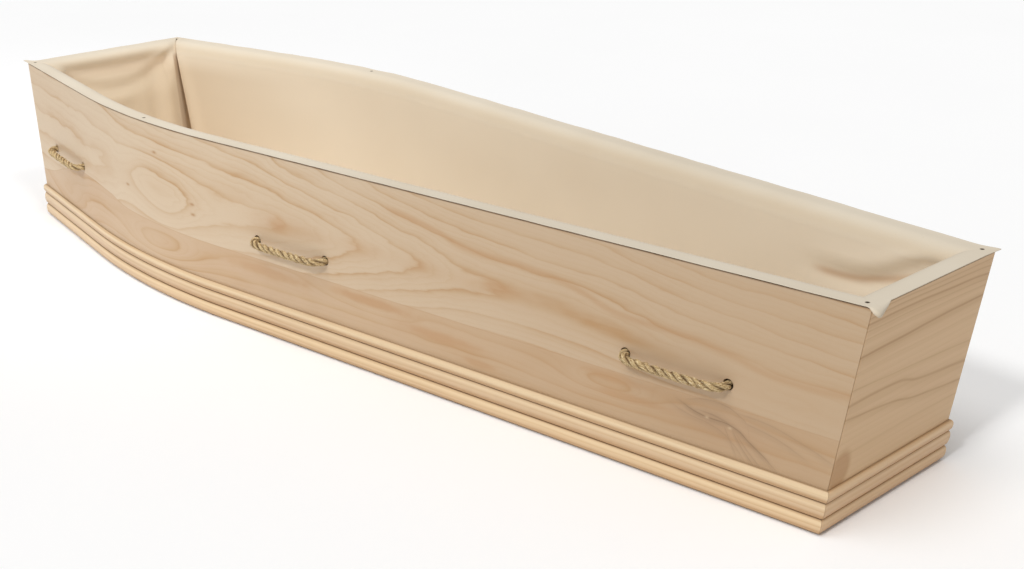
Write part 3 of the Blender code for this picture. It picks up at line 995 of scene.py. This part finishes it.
def make_boards():
    section = [(0.0, 0.0), (0.0, BODY_HEIGHT), (-BOARD, BODY_HEIGHT), (-BOARD, 0.0)]
    for hand, side in SIDES.items():
        node = f"side_board_{hand}"
        material = side_pine(node, 0.0 if side == RIGHT else 40.0, side == LEFT)
        board = add_piece(f"{node}_planks", along_side(section, side), material, "pine_side")
        soften_edges(board)
        for x in HANDLES.values():
            middle, run, out = on_side(x, HANDLE_HEIGHT, side)
            ends = [middle + run * way * HOLE_SPACING / 2 for way in (-1.0, 1.0)]
            drill(board, ends, out, ROPE_HOLE, 4 * BOARD)
        drill(board, screw_places(side), UP, SCREW_HOLE, 2 * SCREW_DEPTH)
        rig.replaces(board, node)
    for place, station in ENDS.items():
        node = f"{place}_board"
        material = end_pine(node, 60.0 if place == "head" else 3.0)
        board = add_piece(f"{node}_planks", across_end(section, station), material, "pine_end")
        soften_edges(board)
        screws = [screw_places(side)[station] for side in SIDES.values()]
        drill(board, screws, UP, SCREW_HOLE, 2 * SCREW_DEPTH)
        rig.replaces(board, node)
    base = frame["nodes"]["base_board"]
    base.data.materials.clear()
    base.data.materials.append(base_pine("base_board"))


def bead(bottom, top, lower_rest, upper_rest, steps=14):
    """The rounded front of one bead, from the groove below it to the one above."""
    points = []
    for share in shares(steps):
        across = -math.cos(math.pi * share)
        swell = (1.0 - abs(across) ** BEAD_FULLNESS) ** (1.0 / BEAD_FULLNESS)
        rest = lower_rest if share < 0.5 else upper_rest
        points.append((rest + (PLINTH_DEPTH - rest) * swell, bottom + (top - bottom) * (1.0 + across) / 2))
    return points


def plinth_section():
    """The moulding's section: three beads on a flat back."""
    section = bead(PLINTH_BOTTOM, LOW_GROOVE, LOW_REST, LOW_REST)
    section += bead(LOW_GROOVE, TOP_GROOVE, LOW_REST, TOP_REST)[1:]
    section += bead(TOP_GROOVE, PLINTH_TOP, TOP_REST, 2 * GAP)[1:]
    return section + [(GAP, PLINTH_TOP), (GAP, PLINTH_BOTTOM)]


def make_plinth():
    section = plinth_section()
    runs = [(hand, along_side(section, side), LENGTHWAYS) for hand, side in SIDES.items()]
    runs += [(place, across_end(section, station), CROSSWAYS) for place, station in ENDS.items()]
    for (wall, bm, grain), shift in zip(runs, (1.0, 50.0, 70.0, 8.0)):
        node = f"plinth_{wall}"
        piece = add_piece(f"{node}_moulding", bm, moulding_pine(node, grain, shift), "pine_moulding", 60.0)
        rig.replaces(piece, node)


# The rope handles

ROPE_STEP = 0.0012
ROPE_PITCH = 0.044
STRAND = 0.0031
STRAND_OUT = 0.0029
STRAND_SIDES = 14
HAIRS = 170
HAIR_STEPS = 4
KNOT_STRAND = 0.005
KNOT_OUT = 0.007
KNOT_END_GAP = 0.0003
KNOT_TURNS = 1.7
KNOT_STEPS = 60


def handle_route():
    """The route in the part: (along, out, up) about the handle's middle on the wall's outer face."""
    half = HOLE_SPACING / 2
    reach = HANDLE_REACH
    first_half = [
        (-half, -BOARD - KNOT_GAP, 0.0),
        (-half, 0.0, 0.0),
        (-half + 0.06 * reach, 0.4 * reach, -0.1 * HANDLE_SAG),
        (-half + 0.42 * reach, 0.78 * reach, -0.35 * HANDLE_SAG),
        (-half + 1.2 * reach, 0.97 * reach, -0.75 * HANDLE_SAG),
    ]
    second_half = [(-along, out, up) for along, out, up in reversed(first_half)]
    return first_half + [(0.0, reach, -HANDLE_SAG)] + second_half


def smooth_points(route, samples=24):
    """Even points on a Catmull-Rom curve through a route, and the curve's length."""
    padded = [route[0] + (route[0] - route[1])] + route + [route[-1] + (route[-1] - route[-2])]
    dense = []
    for index in range(1, len(padded) - 2):
        before, here, there, after = padded[index - 1:index + 3]
        for sample in range(samples):
            share = sample / samples
            pull = here * 2 + (there - before) * share
            pull += (before * 2 - here * 5 + there * 4 - after) * share ** 2
            pull += (here * 3 - before - there * 3 + after) * share ** 3
            dense.append(pull / 2)
    dense.append(route[-1])
    lengths = running_lengths(dense)
    count = round(lengths[-1] / ROPE_STEP)
    points = [point_along(dense, lengths, lengths[-1] * number / count) for number in range(count + 1)]
    return points, lengths[-1]


def frames_along(points, start_up):
    """A direction along and two directions across at each point, turning as little as they can."""
    frames = []
    across = start_up
    for index, point in enumerate(points):
        ahead = points[min(index + 1, len(points) - 1)]
        behind = points[max(index - 1, 0)]
        along = (ahead - behind).normalized()
        across = (across - along * across.dot(along)).normalized()
        frames.append((along, across, along.cross(across)))
    return frames


class Cordage:
    """A mesh of tubes that keeps each face's place on its strand and how deep each point lies."""

    def __init__(self):
        self.bm = bmesh.new()
        self.uv = self.bm.loops.layers.uv.new("strand")
        self.depth = self.bm.verts.layers.float.new("depth")

    def tube(self, centres, frames, radius_at, depth_at, sides):
        rings = []
        for index, (centre, (along, first, second)) in enumerate(zip(centres, frames)):
            ring = []
            for number in range(sides):
                angle = math.tau * number / sides
                out = first * math.cos(angle) + second * math.sin(angle)
                ring.append(self.bm.verts.new(centre + out * radius_at(index, angle)))
                ring[-1][self.depth] = depth_at(index, ring[-1].co)
            rings.append(ring)
        lengths = running_lengths(centres)
        for here, there, start, end in zip(rings, rings[1:], lengths, lengths[1:]):
            for number in range(sides):
                after = (number + 1) % sides
                face = self.bm.faces.new((here[number], here[after], there[after], there[number]))
                corners = ((number, start), (number + 1, start), (number + 1, end), (number, end))
                for loop, (turn, place) in zip(face.loops, corners):
                    loop[self.uv].uv = (turn / sides, place * 10.0)
        self.bm.faces.new(list(reversed(rings[0])))
        self.bm.faces.new(rings[-1])


def add_hair(cordage, path, frames, dice):
    """One loose fibre that leaves the rope's surface."""
    index = dice.randrange(6, len(path) - 7)
    along, first, second = frames[index]
    angle = dice.uniform(0, math.tau)
    out = first * math.cos(angle) + second * math.sin(angle)
    side = along.cross(out) * dice.uniform(-0.5, 0.5)
    way = 1.0 if dice.random() < 0.5 else -1.0
    lift = dice.uniform(0.0006, 0.0018)
    length = dice.uniform(0.004, 0.008)
    points = []
    for share in shares(HAIR_STEPS):
        points.append(path[index] + out * (ROPE * 0.45 + lift * share ** 1.5)
                      + along * way * length * share + side * length * 0.4 * share)
    thick = 0.00013 + 0.00014 * dice.random() ** 2
    cordage.tube(points, frames_along(points, out), lambda index, angle: thick, lambda index, place: 0.0, 3)


def twist_rope(cordage, path, dice):
    """Three strands laid round each other along a path, with loose fibres."""
    frames = frames_along(path, UP)
    lengths = running_lengths(path)
    start = dice.uniform(0, math.tau)
    for strand in range(3):
        centres = []
        for index, (along, first, second) in enumerate(frames):
            stray = noise.noise(Vector((lengths[index] * 45.0, strand * 7.0, start)))
            angle = start + math.tau * (strand / 3 + lengths[index] / ROPE_PITCH) + stray * 0.55
            centres.append(path[index] + (first * math.cos(angle) + second * math.sin(angle)) * STRAND_OUT)
        ripple = dice.uniform(0, 9)

        def radius_at(index, angle):
            place = Vector((lengths[index] * 120.0, math.cos(angle) * 2.2, math.sin(angle) * 2.2 + ripple))
            swell = noise.noise(Vector((lengths[index] * 70.0, ripple, 0.0)))
            return STRAND * (1.0 + 0.26 * noise.noise(place) + 0.14 * swell)

        def depth_at(index, place):
            from_middle = (place - path[index]).length / (ROPE / 2)
            return max(0.0, min(1.0, (0.97 - from_middle) * 2.8))

        cordage.tube(centres, frames_along(centres, UP), radius_at, depth_at, STRAND_SIDES)
    for hair in range(HAIRS):
        add_hair(cordage, path, frames, dice)


def coil_knot(cordage, seat, inward):
    """A stopper knot: the rope's end wound round itself behind the board."""
    across = inward.cross(UP).normalized()
    first = KNOT_STRAND + KNOT_END_GAP
    points = []
    for share in shares(KNOT_STEPS):
        angle = math.tau * KNOT_TURNS * share
        place = seat + inward * (first + (KNOT_LENGTH - 2 * first) * share)
        points.append(place + (UP * math.cos(angle) + across * math.sin(angle)) * KNOT_OUT)
    frames = frames_along(points, inward)
    cordage.tube(points, frames, lambda index, angle: KNOT_STRAND, lambda index, place: 0.2, 10)


def make_handles():
    material = sisal("sisal")
    for hand, side in SIDES.items():
        for place, x in HANDLES.items():
            dice = random.Random(f"{hand} {place}")
            node = f"handle_{hand}_{place}"
            middle, run, out = on_side(x, HANDLE_HEIGHT, side)
            middle = middle - UP * ROPE_HANG
            route = [middle + run * a + out * o + UP * u for a, o, u in handle_route()]
            path, length = smooth_points(route)
            strands = Cordage()
            twist_rope(strands, path, dice)
            rope = add_piece(f"{node}_rope", strands.bm, material, "sisal_rope", 80.0)
            coils = Cordage()
            coil_knot(coils, route[0], -out)
            coil_knot(coils, route[-1], -out)
            knots = add_piece(f"{node}_knots", coils.bm, material, "sisal_rope", 80.0)
            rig.replaces(rope, node)
            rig.cord(rope, exit=route[0], length=length, diameter=ROPE, far_end="object", stiffness="medium",
                    lay="hanging", path=path, with_pieces=[knots])


# The lining

STATION = 0.008
CORNER_STATION = 0.002
CORNER_REACH = 0.04
BEND_STEPS = 24
ROLL_STEPS = 12
WALL_ROWS = 26
FLOOR_STEPS = 5
# How far the rows nearest the cut edge stand off the rim: (inward, lift)
RIM_ROWS = [(-OVERHANG, 0.0004), (-OVERHANG / 2, 0.0004), (0.0005, 0.0002), (0.004, 0.0), (0.009, 0.0),
            (0.0135, 0.0)]
# The rows that wave a little, and those tucked in at the far head corner
WAVING_ROWS = range(10)
TUCKED_ROWS = range(3, 15)


def lining_profile():
    """The cloth's section as (inward, height), from its cut edge to the floor."""
    rim = BODY_HEIGHT + RIM_GAP
    points = [(inward, rim + lift) for inward, lift in RIM_ROWS]
    start = BOARD - 0.001
    wall = BOARD + ROLL_OUT
    for share in shares(ROLL_STEPS):
        angle = math.pi / 2 * share
        points.append((start + (wall - start) * math.sin(angle), rim - ROLL_DROP * (1 - math.cos(angle))))
    top = rim - ROLL_DROP
    bottom = FLOOR_TOP + FLOOR_ROLL
    for row in range(1, WALL_ROWS):
        points.append((wall, top + (bottom - top) * row / WALL_ROWS))
    for share in shares(FLOOR_STEPS):
        angle = math.pi / 2 * share
        points.append((wall + FLOOR_ROLL * (1 - math.cos(angle)), bottom - FLOOR_ROLL * math.sin(angle)))
    return points


def wall_stations(total):
    """Places along a wall of a given length, close together near its two corners."""
    places = []
    run = 0.0
    while run < total - CORNER_STATION / 2:
        places.append(run)
        from_corner = min(run, total - run)
        run += CORNER_STATION if from_corner < CORNER_REACH else STATION
    return places


def plan_walls(height, out):
    """The four walls in plan, in turn round the outline."""
    right = right_outline(height, out, BEND_STEPS)
    left = [Vector((point.x, -point.y)) for point in reversed(right)]
    return {"right": right, "foot": [right[-1], left[0]], "left": left, "head": [left[-1], right[0]]}


def outline_stations(height, out):
    """Stations round the outline, each as (wall, run, what is left of the wall, plan point)."""
    rims = plan_walls(BODY_HEIGHT, 0.0)
    stations = []
    for wall, points in plan_walls(height, out).items():
        total = running_lengths(rims[wall])[-1]
        lengths = running_lengths(points)
        for run in wall_stations(total):
            place = point_along(points, lengths, lengths[-1] * run / total)
            stations.append((wall, run, total - run, place))
    return stations


def ease(share):
    share = max(0.0, min(1.0, share))
    return share * share * (3 - 2 * share)


def ridge(distance, width):
    return math.exp(-(distance / width) ** 2)


def left_folds(from_head, x, height, drop, slack):
    """The far wall's pleat at the head corner, which opens downwards, and its crease near the foot."""
    width = 0.004 + 0.16 * drop
    inward = -min(0.022, width * 1.1) * ease(1.0 - from_head / width) * ease(drop / 0.012)
    # The cloth turns in softly before the pleat
    inward += 0.004 * ridge(from_head - width - 0.012, 0.016) * slack
    # The crease sinks below the roll
    crease = 0.242 + 0.046 * ease((x - 0.76) / 0.15) ** 1.5
    strength = ease((x - 0.66) / 0.16) * ease((0.935 - x) / 0.03)
    return inward + strength * (0.0026 * ridge(height - crease - 0.012, 0.013)
                                - 0.0065 * ridge(height - crease + 0.008, 0.014))


def head_folds(from_corner, y, height, drop, slack):
    """The head wall's tight roll, and its folds that hang from corner to corner."""
    inward = -0.013 * ease(drop / 0.03) * ease((0.1 - drop) / 0.08) * ease((from_corner - 0.004) / 0.03)
    swag = 0.257 + 0.045 * ((y + 0.01) / 0.13) ** 2
    inward += 0.003 * ridge(height - swag, 0.01) - 0.0028 * ridge(height - swag + 0.017, 0.012)
    inward += 0.003 * ridge(height - swag + 0.04, 0.01) * ease((0.05 - y) / 0.06)
    inward += 0.0035 * ridge(y - 0.108, 0.016) * slack
    return inward - 0.003 * ridge(y - 0.075, 0.016) * slack


def cloth_shift(wall, run, left_over, place, height):
    """How far the cloth comes in from its plain section there."""
    drop = BODY_HEIGHT - height
    slack = ease(drop / 0.1)
    x, y = place
    broad = noise.noise(Vector((x * 3.1, y * 3.1, height * 4.0 + 7.0))) * 0.005
    fine = noise.noise(Vector((x * 9.0, y * 9.0, height * 7.0 + 3.0))) * 0.002
    inward = (0.0015 + broad + fine) * slack
    if wall == "left":
        inward += left_folds(left_over, x, height, drop, slack)
    if wall == "head":
        inward += head_folds(min(run, left_over), y, height, drop, slack)
    if wall == "foot":
        inward += 0.003 * ridge(height - 0.25, 0.014)
    return inward


def corner_pull(row, wall, left_over, place):
    """The spare cloth at three of the corners: how far the cut edge stands off there."""
    fade = {0: 1.0, 1: 0.9, 2: 0.75, 3: 0.3, 4: 0.1}.get(row, 0.0)
    sink = {0: 1.0, 1: 0.35}.get(row, 0.0)
    if not fade:
        return Vector()
    rim = right_outline(BODY_HEIGHT)
    near_head = (place - rim[0]).length
    near_foot = (place - rim[-1]).length
    far_foot = (place - Vector((rim[-1].x, -rim[-1].y))).length
    pull = Vector((-0.008, -0.0034, 0.003)) * ridge(near_head, 0.012)
    pull += Vector((0.0034, 0.0034, 0.001)) * ridge(far_foot, 0.015)
    pull *= fade
    # At the near foot corner the cloth folds down over the end
    if wall == "foot" and sink:
        fold = max(0.0, 1.0 - abs(near_foot - 0.003) / 0.032)
        pull += Vector((0.0056 + 0.0022 * sink, 0.0, -0.01 * sink)) * fold
    if wall == "right" and sink:
        pull += Vector((0.0046, -0.002, -0.007 * sink)) * ridge(left_over, 0.0035)
    return pull


def lining_grid(bm):
    """The cloth's points, row by row from its cut edge to the floor."""
    grid = []
    for row, (inward, height) in enumerate(lining_profile()):
        stations = outline_stations(height, -inward)
        line = []
        for index, (wall, run, left_over, place) in enumerate(stations):
            before = stations[index - 1][3]
            after = stations[(index + 1) % len(stations)][3]
            along = (after - before).normalized()
            below_rim = row >= len(RIM_ROWS)
            shift = cloth_shift(wall, run, left_over, place, height) if below_rim else 0.0
            spot = place + Vector((-along.y, along.x)) * shift
            waver = noise.noise(Vector((place.x * 21.0, place.y * 21.0, 0.0)))
            edge = waver * 0.0008 if row == 0 else 0.0
            pull = corner_pull(row, wall, left_over, place)
            lift = waver * (0.0007 if row == 0 else 0.0003) if row in WAVING_ROWS else 0.0
            if wall == "left" and row in TUCKED_ROWS:
                lift -= 0.003 * ridge(left_over - 0.0015, 0.0022)
            line.append(bm.verts.new((
                spot.x + along.y * edge + pull.x, spot.y - along.x * edge + pull.y, height + lift + pull.z)))
        grid.append(line)
    return grid


def make_lining():
    bm = bmesh.new()
    grid = lining_grid(bm)
    for upper, lower in zip(grid, grid[1:]):
        for index in range(len(upper)):
            after = (index + 1) % len(upper)
            bm.faces.new((upper[index], upper[after], lower[after], lower[index]))
    floor = bm.faces.new(grid[-1])
    bmesh.ops.recalc_face_normals(bm, faces=bm.faces)
    if floor.normal.z < 0:
        bmesh.ops.reverse_faces(bm, faces=bm.faces)
    bmesh.ops.triangulate(bm, faces=[floor])
    area = sum(face.calc_area() for face in bm.faces)
    cloth = add_piece("lining_cloth", bm, calico("calico"), "calico", 80.0)
    solidify = cloth.modifiers.new("cloth", "SOLIDIFY")
    solidify.thickness = CLOTH
    solidify.offset = 1.0
    apply_modifiers(cloth)
    drill(cloth, screw_places(RIGHT) + screw_places(LEFT), UP, SCREW_HOLE, SCREW_DEPTH)
    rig.replaces(cloth, "lining")
    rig.sheet(cloth, flat=(1.16, 2.55), held="draped", rests_on=["side_board_right", "base_board"], area=area)


make_camera()
make_handles()
make_studio()
make_boards()
make_plinth()
make_lining()

made_low, made_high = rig.bounds()
with open("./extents.json", "w") as sizes:
    json.dump({"cad": [list(cad_low), list(cad_high)], "visual": [list(made_low), list(made_high)]}, sizes)
